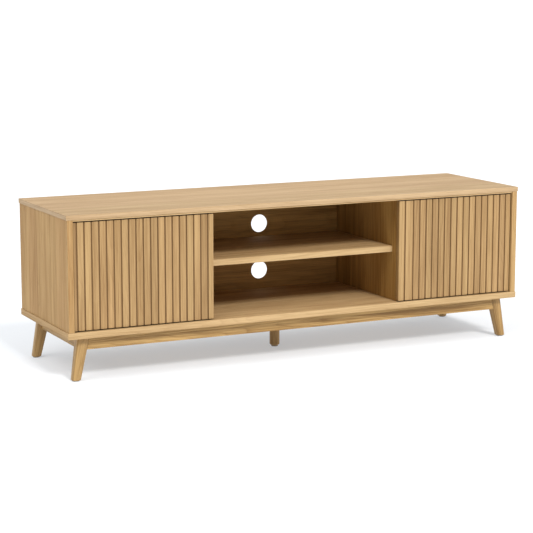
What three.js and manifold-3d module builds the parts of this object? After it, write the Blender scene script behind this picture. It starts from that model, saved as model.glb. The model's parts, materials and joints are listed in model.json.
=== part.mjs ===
// Low media cabinet: a veneered board carcass with two fluted doors, an open bay with a shelf
// between them, and a solid wood base on splayed legs.
// Millimetres. X runs along the width, the front faces -Y, Z is up and the floor is at 0.

import * as THREE from 'three';
import * as BufferGeometryUtils from 'three/addons/utils/BufferGeometryUtils.js';
import Module from 'manifold-3d';

const wasm = await Module();
wasm.setup();

// ---------------------------------------------------------------- driving dimensions

// Overall
const overallWidth = 1600;
const overallDepth = 450;
const bodyHeight = 377;        // underside of the bottom panel to the top of the top panel
const baseHeight = 136;        // floor to the underside of the bottom panel

// Boards
const topThickness = 15;
const bottomThickness = 20;
const sideThickness = 18;
const dividerThickness = 18;
const shelfThickness = 20;
const innerShelfThickness = 16;
const backThickness = 3;
const endOverhang = 3;         // top and bottom panels beyond the side panels
const glueLine = 0.2;          // gap between glued or screwed faces

// Open bay
const bayWidth = 664;          // between the dividers
const bayOffset = 14;          // bay centre, to the right of the cabinet's centre
const shelfSetback = 24;       // centre shelf behind the front edge of the dividers

// Rail under the front of the top panel
const railThickness = 5;
const railDepth = 19;
const railRecess = 3;          // behind the front edge of the top panel

// Back panels, in a rebate along the rear inner edges
const backInset = 8;           // rear face of the back panels in front of the rear edges
const rebateWidth = 7;         // how far the rebate goes into a board
const backClearance = 0.4;     // between a back panel's edge and its neighbours
const cableHoleDiameter = 60;
const cableHoleOffset = 33;    // hole centres, to the right of the bay's centre
const upperHoleAboveShelf = 43;
const lowerHoleAboveFloor = 63.5;

// Doors
const doorRecess = 8;          // door front behind the front edges of the carcass
const doorGap = 3;             // around the top, the bottom and the hinged edge
const doorThickness = 18;
const fluteSheetThickness = 4.5;
const dividerClearance = 2;    // door back to the front edge of a divider
const slatPitch = 23.8;
const grooveWidth = 4.4;
const grooveDepth = 3;
const slatEdgeRadius = 1.2;
const leftFirstGroove = 19;    // from the free edge of the left door
const rightFirstGroove = 22.5; // from the free edge of the right door
const seamSlatExtra = 7.3;     // the right door's second slat is wider, at a joint in the sheet

// Hinges: a cup in the door that turns on a pin, and a goose-neck arm on the side panel
const hingeFromDoorEnd = 62;   // hinge centre from the top or bottom edge of the door
const cupDiameter = 35;
const cupFloor = 1.6;          // board left in front of the cup's pocket
const cupEdgeWall = 3;         // least board left beside the cup at the hinged edge
const cupWall = 0.8;
const flangeThickness = 1.2;
const flangeWidth = 22;
const flangeHeight = 56;
const pinRadius = 1.6;
const pinClearance = 0.15;
const knuckleRadius = 3.3;
const knuckleClearance = 0.1;  // knuckle to the bottom of the cup
const leastCupOffset = 1;      // cup centre towards the free edge from the pin, at least
const armThickness = 2.6;
const armHeight = 12;
const armClearance = 0.8;
const swingClearance = 0.5;    // between the turning door edge and the side panel
const hingeOpening = THREE.MathUtils.degToRad(105);
const plateThickness = 9;
const plateLength = 44;
const plateHeight = 34;

// Push latches under the top panel, each pushing on a strike plate on its door
const latchFromDivider = 25;   // latch axis from the divider's face
const latchBodyWidth = 15;
const latchWall = 2;           // plastic under the plunger's bore
const latchBodyLength = 58;
const latchBodySetback = 5;    // latch body behind the back face of the door
const plungerRadius = 4;
const plungerLength = 38;
const plungerClearance = 0.3;
const plungerTravel = 3;
const plungerEndGap = 1;       // left behind the plunger when it is pressed in
const strikeRadius = 8;
const strikeBelowDoorTop = 10; // centre of the strike plate and the plunger
const strikeThickness = 1;
const strikeGap = 0.3;

// Shelf pins of the inner shelves
const shelfPinRadius = 2.5;
const shelfPinDepth = 8;       // in the board
const shelfPinReach = 7;       // out of the board
const shelfPinFromFront = 45;
const shelfPinFromBack = 45;
const shelfPinClearance = 0.2;
const innerShelfSideGap = 1;
const innerShelfSetback = 45;  // behind the front edge of the dividers

// Base frame
const apronHeight = 40;
const apronThickness = 18;
const frontApronRecess = 29;   // from the front or rear edge of the bottom panel
const sideApronRecess = 48;    // from its ends
const crossRailThickness = 36;

// Legs
const legTopSize = 40;
const legFootSize = 28;
const legCornerShare = 0.3;    // corner radius as a share of the leg's size
const legFaceRecess = 25;      // front face of a front leg behind the front edge
const footInset = 35;          // foot centre from the end of the cabinet
const legSplay = 26;           // sideways shift of the foot against the leg's top
const legFitGap = 0.3;
const centreLegDiameter = 33;
const centreLegChamfer = 5;
const glideThickness = 3;
const glideDiameter = 22;

// Corner brackets behind the legs
const bracketLegClearance = 4.5;
const bracketFlange = 28;
const bracketThickness = 2;
const bracketHeight = 30;

// Cutting and facets
const overcut = 1;             // how far a cutter reaches past the face it cuts
const wideFacets = 32;         // sides of a wide round, a glide, a pin and a shelf pin
const glideFacets = 20;
const pinFacets = 16;
const shelfPinFacets = 12;

// ---------------------------------------------------------------- derived positions

const halfWidth = overallWidth / 2;
const halfDepth = overallDepth / 2;
const floorZ = baseHeight + bottomThickness;            // bay floor
const ceilingZ = baseHeight + bodyHeight - topThickness;
const sideInnerX = halfWidth - endOverhang - sideThickness;
const bayLeftX = bayOffset - bayWidth / 2;
const bayRightX = bayOffset + bayWidth / 2;
const leftDividerOuterX = bayLeftX - dividerThickness;
const rightDividerOuterX = bayRightX + dividerThickness;
const doorFrontY = -halfDepth + doorRecess;
const doorBackY = doorFrontY + doorThickness;
const dividerFrontY = doorBackY + dividerClearance;
const backRearY = halfDepth - backInset;
const backFrontY = backRearY - backThickness;
const railBottomZ = ceilingZ - railThickness;
const doorBottomZ = floorZ + doorGap;
const doorTopZ = railBottomZ - doorGap;
const shelfMiddleZ = (floorZ + ceilingZ) / 2;
const holeX = bayOffset + cableHoleOffset;
const upperHoleZ = shelfMiddleZ + shelfThickness / 2 + upperHoleAboveShelf;
const lowerHoleZ = floorZ + lowerHoleAboveFloor;

// The cup goes into the door's board, and the pin sits as deep in it as the knuckle allows.
const cupDepth = doorThickness - fluteSheetThickness - cupFloor - glueLine;
const pinAheadOfBack = cupDepth - cupWall - knuckleRadius - knuckleClearance;

// The hinge arm leaves the cup along the back face of the fully open door, at armOffset from the
// pin, and reaches armReach towards the free edge where it crosses the back of the closed door.
// The cup sits far enough that way for its mouth to clear the arm.
const mouthDepth = pinAheadOfBack + flangeThickness;
const armOffset = mouthDepth + armClearance + armThickness / 2;
const armCrossing = armOffset + armThickness / 2 - Math.cos(hingeOpening) * mouthDepth;
const armReach = armCrossing / Math.sin(hingeOpening) + armClearance;
const mouthHalf = Math.sqrt((cupDiameter / 2 - cupWall) ** 2 - (armHeight / 2) ** 2);
const cupAheadOfPin = Math.max(leastCupOffset, armReach - mouthHalf);

// The door's outer front corner turns about the pin within the gap at the hinged edge: the pin
// is far enough in for that corner to stand out by no more than doorSwing, and for the cup to
// leave its wall of board at the edge.
const doorSwing = doorGap - swingClearance;
const pinBehindFront = doorThickness - pinAheadOfBack;
const swingInset = (pinBehindFront ** 2 - doorSwing ** 2) / (2 * doorSwing);
const cupInset = cupDiameter / 2 + cupEdgeWall - cupAheadOfPin;
const pinInset = Math.max(swingInset, cupInset);
const doorCornerRadius = Math.hypot(pinInset, pinAheadOfBack);

const apronTopZ = baseHeight - glueLine;
const apronBottomZ = baseHeight - apronHeight;
const frontApronY = halfDepth - frontApronRecess;       // outer faces of the aprons
const sideApronX = halfWidth - sideApronRecess;
const footX = halfWidth - footInset;
const legTopX = footX - legSplay;
const legTopY = halfDepth - legFaceRecess - legTopSize / 2;
const footY = halfDepth - legFaceRecess - legFootSize / 2;

// ---------------------------------------------------------------- materials

const finishes = {
  topOak: { color: 0xd2b48f, roughness: 0.55, metalness: 0 },
  oak: { color: 0xc4a070, roughness: 0.6, metalness: 0 },
  sideOak: { color: 0xb89668, roughness: 0.6, metalness: 0 },
  baseOak: { color: 0xa5804f, roughness: 0.6, metalness: 0 },
  innerOak: { color: 0xa98657, roughness: 0.65, metalness: 0 },
  steel: { color: 0xc6c8ca, roughness: 0.3, metalness: 1 },
  zinc: { color: 0xb4b6b8, roughness: 0.4, metalness: 1 },
  greyPlastic: { color: 0x8d8d8a, roughness: 0.5, metalness: 0 },
  whitePlastic: { color: 0xe6e4de, roughness: 0.5, metalness: 0 },
  felt: { color: 0x4b443c, roughness: 0.95, metalness: 0 },
};

// ---------------------------------------------------------------- small helpers

const cabinet = new THREE.Group();

function addMesh(name, geometry, finish, position = [0, 0, 0]) {
  const mesh = new THREE.Mesh(geometry, new THREE.MeshStandardMaterial(finishes[finish]));
  mesh.name = name;
  mesh.position.set(...position);
  cabinet.add(mesh);
  return mesh;
}

// A board between two opposite corners, with its geometry already in place.
function board(low, high) {
  const geometry = new THREE.BoxGeometry(high[0] - low[0], high[1] - low[1], high[2] - low[2]);
  geometry.translate((low[0] + high[0]) / 2, (low[1] + high[1]) / 2, (low[2] + high[2]) / 2);
  return geometry;
}

// A round bar along an axis, starting at a point.
function roundBar(radius, length, start, axis, segments) {
  const geometry = new THREE.CylinderGeometry(radius, radius, length, segments);
  geometry.translate(0, length / 2, 0);
  if (axis === 'x') geometry.rotateZ(-Math.PI / 2);
  if (axis === 'z') geometry.rotateX(Math.PI / 2);
  geometry.translate(...start);
  return geometry;
}

// An outline in plan, raised between two heights.
function upright(shape, lowZ, highZ, curveSegments = 12) {
  const settings = { depth: highZ - lowZ, bevelEnabled: false, curveSegments };
  const geometry = new THREE.ExtrudeGeometry(shape, settings);
  geometry.translate(0, 0, lowZ);
  return geometry;
}

function polygon(points) {
  return new THREE.Shape(points.map(([x, y]) => new THREE.Vector2(x, y)));
}

function toSolid(geometry) {
  const bare = geometry.clone();
  bare.deleteAttribute('normal');
  bare.deleteAttribute('uv');
  const merged = BufferGeometryUtils.mergeVertices(bare, 1e-4);
  const vertProperties = new Float32Array(merged.attributes.position.array);
  const triVerts = new Uint32Array(merged.index.array);
  return new wasm.Manifold(new wasm.Mesh({ numProp: 3, vertProperties, triVerts }));
}

function toGeometry(solid) {
  const mesh = solid.getMesh();
  const geometry = new THREE.BufferGeometry();
  geometry.setAttribute('position', new THREE.BufferAttribute(mesh.vertProperties, 3));
  geometry.setIndex(new THREE.BufferAttribute(mesh.triVerts, 1));
  geometry.computeVertexNormals();
  return geometry;
}

function cut(geometry, cutters) {
  const solid = cutters.reduce((rest, cutter) => rest.subtract(toSolid(cutter)), toSolid(geometry));
  return toGeometry(solid);
}

function join(geometries) {
  return toGeometry(geometries.map(toSolid).reduce((sum, next) => sum.add(next)));
}

// Mirrors across the plane X = 0 and keeps the faces pointing out.
function mirrored(geometry) {
  const copy = toGeometry(toSolid(geometry));
  copy.scale(-1, 1, 1);
  const index = copy.index.array;
  for (let i = 0; i < index.length; i += 3) {
    [index[i], index[i + 1]] = [index[i + 1], index[i]];
  }
  return copy;
}

const sides = [
  { side: 'left', sign: -1 },
  { side: 'right', sign: 1 },
];

// ---------------------------------------------------------------- carcass

const rebateFrontY = backFrontY - glueLine;
const rearCutY = halfDepth + overcut;
const rebateHalfWidth = sideInnerX + rebateWidth;

function shelfPinPlaces() {
  const frontY = dividerFrontY + innerShelfSetback + shelfPinFromFront;
  const backY = backFrontY - shelfPinFromBack;
  const z = shelfMiddleZ - innerShelfThickness / 2 - shelfPinRadius - shelfPinClearance;
  return [{ place: 'front', y: frontY, z }, { place: 'back', y: backY, z }];
}

// Blind holes for the shelf pins in a board face at faceX; the holes go towards into (-1 or 1).
function shelfPinHoles(faceX, into) {
  return shelfPinPlaces().map(({ y, z }) => {
    const depth = shelfPinDepth + shelfPinClearance;
    const startX = into > 0 ? faceX - overcut : faceX - depth;
    const radius = shelfPinRadius + shelfPinClearance;
    return roundBar(radius, depth + overcut, [startX, y, z], 'x', shelfPinFacets);
  });
}

function makeCarcass() {
  const bottomZ = baseHeight;
  const topZ = baseHeight + bodyHeight;
  const bottomRebate = board(
    [-rebateHalfWidth, rebateFrontY, floorZ - rebateWidth],
    [rebateHalfWidth, rearCutY, floorZ + overcut],
  );
  const topRebate = board(
    [-rebateHalfWidth, rebateFrontY, ceilingZ - overcut],
    [rebateHalfWidth, rearCutY, ceilingZ + rebateWidth],
  );
  const bottomBoard = board([-halfWidth, -halfDepth, bottomZ], [halfWidth, halfDepth, floorZ]);
  const topBoard = board([-halfWidth, -halfDepth, ceilingZ], [halfWidth, halfDepth, topZ]);
  addMesh('bottom_panel', cut(bottomBoard, [bottomRebate]), 'oak');
  addMesh('top_panel', cut(topBoard, [topRebate]), 'topOak');

  const lowZ = floorZ + glueLine;
  const highZ = ceilingZ - glueLine;
  const sideBoard = board(
    [sideInnerX, -halfDepth, lowZ],
    [sideInnerX + sideThickness, halfDepth, highZ],
  );
  const sideRebate = board(
    [sideInnerX - overcut, rebateFrontY, lowZ - overcut],
    [rebateHalfWidth, rearCutY, highZ + overcut],
  );
  const sidePanel = cut(sideBoard, [sideRebate, ...shelfPinHoles(sideInnerX, 1)]);
  addMesh('left_side_panel', mirrored(sidePanel), 'sideOak');
  addMesh('right_side_panel', sidePanel, 'sideOak');

  const leftDivider = board(
    [leftDividerOuterX, dividerFrontY, lowZ],
    [bayLeftX, backFrontY - glueLine, highZ],
  );
  const rightDivider = board(
    [bayRightX, dividerFrontY, lowZ],
    [rightDividerOuterX, backFrontY - glueLine, highZ],
  );
  addMesh('left_divider', cut(leftDivider, shelfPinHoles(leftDividerOuterX, 1)), 'innerOak');
  addMesh('right_divider', cut(rightDivider, shelfPinHoles(rightDividerOuterX, -1)), 'innerOak');

  const railFrontY = -halfDepth + railRecess;
  const railHalfLength = sideInnerX - glueLine;
  const rail = board(
    [-railHalfLength, railFrontY, railBottomZ],
    [railHalfLength, railFrontY + railDepth, highZ],
  );
  addMesh('top_front_rail', rail, 'oak');
}

function makeBackPanels() {
  const lowZ = floorZ - rebateWidth + backClearance;
  const highZ = ceilingZ + rebateWidth - backClearance;
  const outerX = rebateHalfWidth - backClearance;
  const leftSeamX = (leftDividerOuterX + bayLeftX) / 2;
  const rightSeamX = (rightDividerOuterX + bayRightX) / 2;
  const halfSeam = backClearance / 2;
  const panel = (lowX, highX) => board([lowX, backFrontY, lowZ], [highX, backRearY, highZ]);
  const holes = [upperHoleZ, lowerHoleZ].map((z) => {
    const start = [holeX, backFrontY - overcut, z];
    return roundBar(cableHoleDiameter / 2, backThickness + overcut * 2, start, 'y', wideFacets);
  });
  addMesh('left_back_panel', panel(-outerX, leftSeamX - halfSeam), 'innerOak');
  addMesh('centre_back_panel', cut(panel(leftSeamX + halfSeam, rightSeamX - halfSeam), holes),
    'innerOak');
  addMesh('right_back_panel', panel(rightSeamX + halfSeam, outerX), 'innerOak');
}

// ---------------------------------------------------------------- shelves

function makeShelves() {
  const backY = backFrontY - glueLine;
  const centreShelf = board(
    [bayLeftX + glueLine, dividerFrontY + shelfSetback, shelfMiddleZ - shelfThickness / 2],
    [bayRightX - glueLine, backY, shelfMiddleZ + shelfThickness / 2],
  );
  addMesh('centre_shelf', centreShelf, 'oak');

  const compartments = [
    { side: 'left', lowX: -sideInnerX, highX: leftDividerOuterX },
    { side: 'right', lowX: rightDividerOuterX, highX: sideInnerX },
  ];
  const lowZ = shelfMiddleZ - innerShelfThickness / 2;
  const frontY = dividerFrontY + innerShelfSetback;
  for (const { side, lowX, highX } of compartments) {
    const shelf = board(
      [lowX + innerShelfSideGap, frontY, lowZ],
      [highX - innerShelfSideGap, backY - innerShelfSideGap, lowZ + innerShelfThickness],
    );
    addMesh(`${side}_inner_shelf`, shelf, 'innerOak');
    for (const { place, y, z } of shelfPinPlaces()) {
      const length = shelfPinDepth + shelfPinReach;
      const pins = [
        { end: 'low', startX: lowX - shelfPinDepth },
        { end: 'high', startX: highX - shelfPinReach },
      ];
      for (const { end, startX } of pins) {
        const outer = (end === 'low') === (side === 'left');
        const name = `${side}_shelf_pin_${place}_${outer ? 'outer' : 'inner'}`;
        const pin = roundBar(shelfPinRadius, length, [startX, y, z], 'x', shelfPinFacets);
        addMesh(name, pin, 'steel');
      }
    }
  }
}

// ---------------------------------------------------------------- doors

// Centres of the grooves, measured from the free edge of the door.
function grooveCentres(doorWidth, firstGroove, extraAtSecond) {
  const centres = [firstGroove];
  let next = firstGroove + slatPitch + extraAtSecond;
  while (next < doorWidth - grooveWidth * 2) {
    centres.push(next);
    next += slatPitch;
  }
  return centres;
}

// Fluted sheet in plan. The free edge is at X = 0, the width goes along +X, the front is y = 0.
function flutedOutline(doorWidth, centres) {
  const half = grooveWidth / 2;
  const radius = slatEdgeRadius;
  const shape = new THREE.Shape();
  shape.moveTo(0, fluteSheetThickness - glueLine);
  shape.lineTo(0, radius);
  shape.quadraticCurveTo(0, 0, radius, 0);
  for (const centre of centres) {
    shape.lineTo(centre - half - radius, 0);
    shape.quadraticCurveTo(centre - half, 0, centre - half, radius);
    shape.lineTo(centre - half, grooveDepth);
    shape.lineTo(centre + half, grooveDepth);
    shape.lineTo(centre + half, radius);
    shape.quadraticCurveTo(centre + half, 0, centre + half + radius, 0);
  }
  shape.lineTo(doorWidth - radius, 0);
  shape.quadraticCurveTo(doorWidth, 0, doorWidth, radius);
  shape.lineTo(doorWidth, fluteSheetThickness - glueLine);
  shape.closePath();
  return shape;
}

function hingeHeights() {
  return [
    { level: 'upper', z: doorTopZ - hingeFromDoorEnd },
    { level: 'lower', z: doorBottomZ + hingeFromDoorEnd },
  ];
}

const doors = [
  {
    side: 'left', sign: -1, hingedX: -(sideInnerX - doorGap), freeX: bayLeftX,
    firstGroove: leftFirstGroove, seamExtra: 0, dividerX: leftDividerOuterX,
  },
  {
    side: 'right', sign: 1, hingedX: sideInnerX - doorGap, freeX: bayRightX,
    firstGroove: rightFirstGroove, seamExtra: seamSlatExtra, dividerX: rightDividerOuterX,
  },
];

function makeDoors() {
  for (const { side, sign, hingedX, freeX, firstGroove, seamExtra } of doors) {
    const doorWidth = Math.abs(hingedX - freeX);
    const centres = grooveCentres(doorWidth, firstGroove, seamExtra);
    const outline = flutedOutline(doorWidth, centres);
    const rightHanded = upright(outline, doorBottomZ, doorTopZ, 3);
    const sheet = sign > 0 ? rightHanded : mirrored(rightHanded);
    sheet.translate(freeX, doorFrontY, 0);
    addMesh(`${side}_door_fluted_face`, sheet, 'oak');

    const boardFrontY = doorFrontY + fluteSheetThickness;
    const doorBoard = board(
      [Math.min(hingedX, freeX), boardFrontY, doorBottomZ],
      [Math.max(hingedX, freeX), doorBackY, doorTopZ],
    );
    const cupX = hingedX - sign * (pinInset + cupAheadOfPin);
    const pockets = hingeHeights().map(({ z }) => {
      const start = [cupX, doorBackY - cupDepth - glueLine, z];
      const depth = cupDepth + glueLine + overcut;
      return roundBar(cupDiameter / 2 + glueLine, depth, start, 'y', wideFacets);
    });
    addMesh(`${side}_door_board`, cut(doorBoard, pockets), 'oak');
  }
}

// ---------------------------------------------------------------- hinges

// Both hinge halves are drawn for the right door about the pin axis: +X points to the door's
// hinged edge, y = 0 is the pin and the door's back face is at y = pinAheadOfBack.
function hingeCup() {
  const backY = pinAheadOfBack;
  const outerRadius = cupDiameter / 2;
  const shellStart = [-cupAheadOfPin, backY - cupDepth, 0];
  const shell = roundBar(outerRadius, cupDepth, shellStart, 'y', wideFacets);
  const flange = board(
    [-cupAheadOfPin - flangeWidth / 2, backY + glueLine, -flangeHeight / 2],
    [-cupAheadOfPin + flangeWidth / 2, backY + flangeThickness, flangeHeight / 2],
  );
  const collarStart = [-cupAheadOfPin, backY - glueLine, 0];
  const collar = roundBar(outerRadius, flangeThickness + glueLine, collarStart, 'y', wideFacets);
  const hollow = roundBar(outerRadius - cupWall, cupDepth + flangeThickness,
    [-cupAheadOfPin, backY - cupDepth + cupWall, 0], 'y', wideFacets);
  // The pin's ends stop inside the cup's wall, on the side where the round wall is nearest.
  const pinHalf = Math.sqrt((outerRadius - cupWall / 2) ** 2 - (cupAheadOfPin + pinRadius) ** 2);
  const pin = roundBar(pinRadius, pinHalf * 2, [0, 0, -pinHalf], 'z', pinFacets);
  const cup = cut(join([shell, flange, collar]), [hollow]);
  return join([cup, pin]);
}

// A flat bar with round ends between two points in plan.
function link(from, to, lowZ, highZ) {
  const [x1, y1] = from;
  const [x2, y2] = to;
  const angle = Math.atan2(y2 - y1, x2 - x1);
  const radius = armThickness / 2;
  const shape = new THREE.Shape();
  shape.absarc(x2, y2, radius, angle - Math.PI / 2, angle + Math.PI / 2, false);
  shape.absarc(x1, y1, radius, angle + Math.PI / 2, angle + Math.PI * 1.5, false);
  shape.closePath();
  return upright(shape, lowZ, highZ, 4);
}

function hingeArm() {
  // The arm leaves the cup along the open door's back face, passes the swinging door corner and
  // turns back to the side panel.
  const normal = [-Math.sin(hingeOpening), Math.cos(hingeOpening)];
  const along = [Math.cos(hingeOpening), Math.sin(hingeOpening)];
  const onLine = (s) => [0, 1].map((axis) => normal[axis] * armOffset + along[axis] * s);
  const clearRadius = doorCornerRadius + armClearance * 2 + armThickness;
  const exit = onLine(armOffset);
  const bend = onLine(Math.sqrt(clearRadius ** 2 - armOffset ** 2));
  const crown = [0, clearRadius + armThickness];
  const sideX = pinInset + doorGap;
  const plateEnd = [sideX - plateThickness / 2, clearRadius + armThickness * 2];
  const lowZ = -armHeight / 2;
  const highZ = armHeight / 2;
  const knuckle = roundBar(knuckleRadius, armHeight, [0, 0, lowZ], 'z', glideFacets);
  const plate = board(
    [sideX - plateThickness, clearRadius, -plateHeight / 2],
    [sideX - glueLine, clearRadius + plateLength, plateHeight / 2],
  );
  const bars = [
    link([0, 0], exit, lowZ, highZ),
    link(exit, bend, lowZ, highZ),
    link(bend, crown, lowZ, highZ),
    link(crown, plateEnd, lowZ, highZ),
  ];
  const bore = roundBar(pinRadius + pinClearance, armHeight + overcut * 2,
    [0, 0, lowZ - overcut], 'z', pinFacets);
  return cut(join([knuckle, ...bars, plate]), [bore]);
}

function makeHinges() {
  const cup = hingeCup();
  const arm = hingeArm();
  for (const { side, sign, hingedX } of doors) {
    for (const { level, z } of hingeHeights()) {
      const place = [hingedX - sign * pinInset, doorFrontY + pinBehindFront, z];
      const handed = (geometry) => (sign > 0 ? geometry.clone() : mirrored(geometry));
      addMesh(`${side}_${level}_hinge_cup`, handed(cup), 'steel', place);
      addMesh(`${side}_${level}_hinge_arm`, handed(arm), 'steel', place);
    }
  }
}

// ---------------------------------------------------------------- push latches

function makeLatches() {
  const strikeFrontY = doorBackY + glueLine;
  const tipY = strikeFrontY + strikeThickness + strikeGap;
  const bodyFrontY = doorBackY + latchBodySetback;
  const axisZ = doorTopZ - strikeBelowDoorTop;
  const bodyTopZ = ceilingZ - glueLine;
  const bodyBottomZ = axisZ - plungerRadius - plungerClearance - latchWall;
  for (const { side, sign, dividerX } of doors) {
    const x = dividerX + sign * latchFromDivider;
    const body = board(
      [x - latchBodyWidth / 2, bodyFrontY, bodyBottomZ],
      [x + latchBodyWidth / 2, bodyFrontY + latchBodyLength, bodyTopZ],
    );
    const boreLength = tipY + plungerLength + plungerTravel + plungerEndGap - bodyFrontY;
    const bore = roundBar(plungerRadius + plungerClearance, boreLength + overcut,
      [x, bodyFrontY - overcut, axisZ], 'y', pinFacets);
    addMesh(`${side}_latch_body`, cut(body, [bore]), 'greyPlastic');
    const plunger = roundBar(plungerRadius, plungerLength, [x, tipY, axisZ], 'y', pinFacets);
    addMesh(`${side}_latch_plunger`, plunger, 'whitePlastic');
    const strikeStart = [x, strikeFrontY, axisZ];
    const strike = roundBar(strikeRadius, strikeThickness, strikeStart, 'y', glideFacets);
    addMesh(`${side}_strike_plate`, strike, 'zinc');
  }
}

// ---------------------------------------------------------------- base

function roundedSquare(size) {
  const half = size / 2;
  const radius = size * legCornerShare;
  const shape = new THREE.Shape();
  shape.absarc(half - radius, half - radius, radius, 0, Math.PI / 2, false);
  shape.absarc(radius - half, half - radius, radius, Math.PI / 2, Math.PI, false);
  shape.absarc(radius - half, radius - half, radius, Math.PI, Math.PI * 1.5, false);
  shape.absarc(half - radius, radius - half, radius, Math.PI * 1.5, Math.PI * 2, false);
  shape.closePath();
  return shape;
}

// A right front leg, grown by extra all round: its section shrinks from top to foot while the
// middle of the section moves outwards, so that its front face stays upright.
function legGeometry(extra, lowZ, highZ) {
  const geometry = upright(roundedSquare(1), lowZ, highZ, 5);
  const position = geometry.attributes.position;
  for (let i = 0; i < position.count; i += 1) {
    const drop = (baseHeight - position.getZ(i)) / baseHeight;
    const size = THREE.MathUtils.lerp(legTopSize, legFootSize, drop) + extra * 2;
    const middleX = THREE.MathUtils.lerp(legTopX, footX, drop);
    const middleY = -THREE.MathUtils.lerp(legTopY, footY, drop);
    position.setX(i, position.getX(i) * size + middleX);
    position.setY(i, position.getY(i) * size + middleY);
  }
  return geometry;
}

// The four corners of the base: a right front piece is mirrored to the others.
function atCorner(geometry, signX, signY) {
  let copy = toGeometry(toSolid(geometry));
  if (signX < 0) copy = mirrored(copy);
  if (signY > 0) {
    copy.rotateZ(Math.PI);
    copy = mirrored(copy);
  }
  return copy;
}

const corners = [
  { name: 'front_left', signX: -1, signY: -1 },
  { name: 'front_right', signX: 1, signY: -1 },
  { name: 'back_left', signX: -1, signY: 1 },
  { name: 'back_right', signX: 1, signY: 1 },
];

function makeLegs() {
  const leg = legGeometry(0, glideThickness + glueLine, baseHeight - glueLine);
  const glide = (x, y) => (
    roundBar(glideDiameter / 2, glideThickness, [x, y, 0], 'z', glideFacets)
  );
  for (const { name, signX, signY } of corners) {
    addMesh(`${name}_leg`, atCorner(leg, signX, signY), 'baseOak');
    addMesh(`${name}_glide`, glide(signX * footX, signY * footY), 'felt');
  }
  const radius = centreLegDiameter / 2;
  const bottomZ = glideThickness + glueLine;
  const profile = [
    new THREE.Vector2(0, bottomZ),
    new THREE.Vector2(radius - centreLegChamfer, bottomZ),
    new THREE.Vector2(radius, bottomZ + centreLegChamfer),
    new THREE.Vector2(radius, apronBottomZ - glueLine),
    new THREE.Vector2(0, apronBottomZ - glueLine),
  ];
  const centreLeg = new THREE.LatheGeometry(profile, wideFacets);
  centreLeg.rotateX(Math.PI / 2);
  addMesh('centre_leg', centreLeg, 'baseOak');
  addMesh('centre_glide', glide(0, 0), 'felt');
}

function makeAprons() {
  const cutter = legGeometry(legFitGap, 0, baseHeight + overcut);
  const legCutters = corners.map(({ signX, signY }) => atCorner(cutter, signX, signY));
  const innerY = frontApronY - apronThickness;
  const longBoard = board([-legTopX, -frontApronY, apronBottomZ], [legTopX, -innerY, apronTopZ]);
  const frontApron = cut(longBoard, legCutters);
  const backApron = frontApron.clone();
  backApron.rotateZ(Math.PI);
  addMesh('front_apron', frontApron, 'baseOak');
  addMesh('back_apron', backApron, 'baseOak');

  const innerX = sideApronX - apronThickness;
  const shortBoard = board([innerX, -legTopY, apronBottomZ], [sideApronX, legTopY, apronTopZ]);
  const sideApron = cut(shortBoard, legCutters);
  for (const { side, sign } of sides) {
    addMesh(`${side}_apron`, sign > 0 ? sideApron : mirrored(sideApron), 'baseOak');
  }

  const halfRail = crossRailThickness / 2;
  const crossRail = board(
    [-halfRail, glueLine - innerY, apronBottomZ],
    [halfRail, innerY - glueLine, apronTopZ],
  );
  addMesh('centre_cross_rail', crossRail, 'baseOak');
}

// A bent steel strip across each inner corner of the aprons, behind the leg.
function makeBrackets() {
  const cornerX = sideApronX - apronThickness - glueLine;
  const cornerY = frontApronY - apronThickness - glueLine;
  // The rounded inner corner of the leg, from the corner of the aprons, and the start of the
  // diagonal that clears it.
  const legInnerU = cornerX - (legTopX - legTopSize / 2);
  const legInnerV = cornerY - (legTopY - legTopSize / 2);
  const rounding = legTopSize * legCornerShare * (2 - Math.SQRT2);
  const reach = legInnerU + legInnerV - rounding + bracketLegClearance * Math.SQRT2;
  const end = reach + bracketFlange;
  const turn = reach + bracketThickness * (Math.SQRT2 - 1);
  const strip = [
    [end, 0], [end, bracketThickness], [turn, bracketThickness], [bracketThickness, turn],
    [bracketThickness, end], [0, end], [0, reach], [reach, 0],
  ];
  const outline = polygon(strip.map(([u, v]) => [cornerX - u, v - cornerY]));
  const middleZ = baseHeight - apronHeight / 2;
  const lowZ = middleZ - bracketHeight / 2;
  const bracket = upright(outline, lowZ, lowZ + bracketHeight);
  for (const { name, signX, signY } of corners) {
    addMesh(`${name}_bracket`, atCorner(bracket, signX, signY), 'zinc');
  }
}

makeCarcass();
makeBackPanels();
makeShelves();
makeDoors();
makeHinges();
makeLatches();
makeLegs();
makeAprons();
makeBrackets();

export default cabinet;
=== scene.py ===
# The finish of a low oak media cabinet with two fluted doors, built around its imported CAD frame.
# Metres. X runs along the width, the front faces -Y, Z is up and the floor is at 0.

import json
import math
import random

import bmesh
import bpy
from mathutils import Matrix, Vector

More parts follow.
